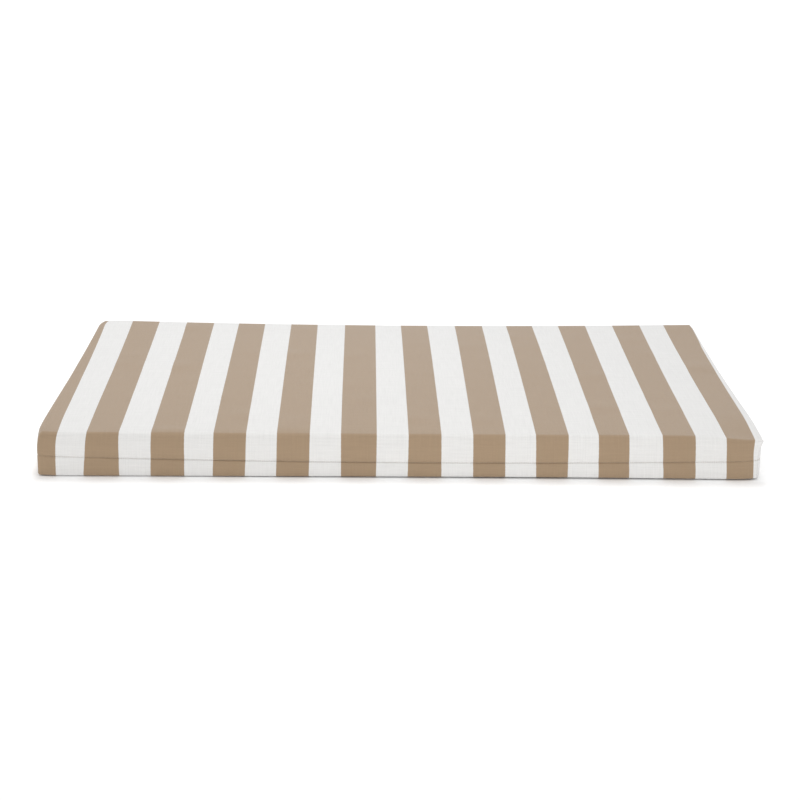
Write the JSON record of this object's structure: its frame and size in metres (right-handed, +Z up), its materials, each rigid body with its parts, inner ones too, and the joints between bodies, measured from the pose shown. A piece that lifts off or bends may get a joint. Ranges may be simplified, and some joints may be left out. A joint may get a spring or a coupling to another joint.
{
  "type": "outdoor mattress cushion",
  "caption": "Slim rectangular foam-filled mattress cushion in a striped canvas cover, with boxed corners and one seam round its side, lying flat.",
  "frame": {"origin": "the middle of the underside's bounding box, on the plane that the cushion lies on", "axes": "+X along the length, +Y towards the back edge, +Z up; the side that the picture shows faces -Y"},
  "size_m": [1.2008, 0.7984, 0.0792],
  "materials": {
    "striped_canvas": "matte plain-weave canvas, woven in even tan and white stripes that run from front to back"
  },
  "bodies": {
    "root": {"mattress_cushion": "striped_canvas"}
  },
  "joints": []
}
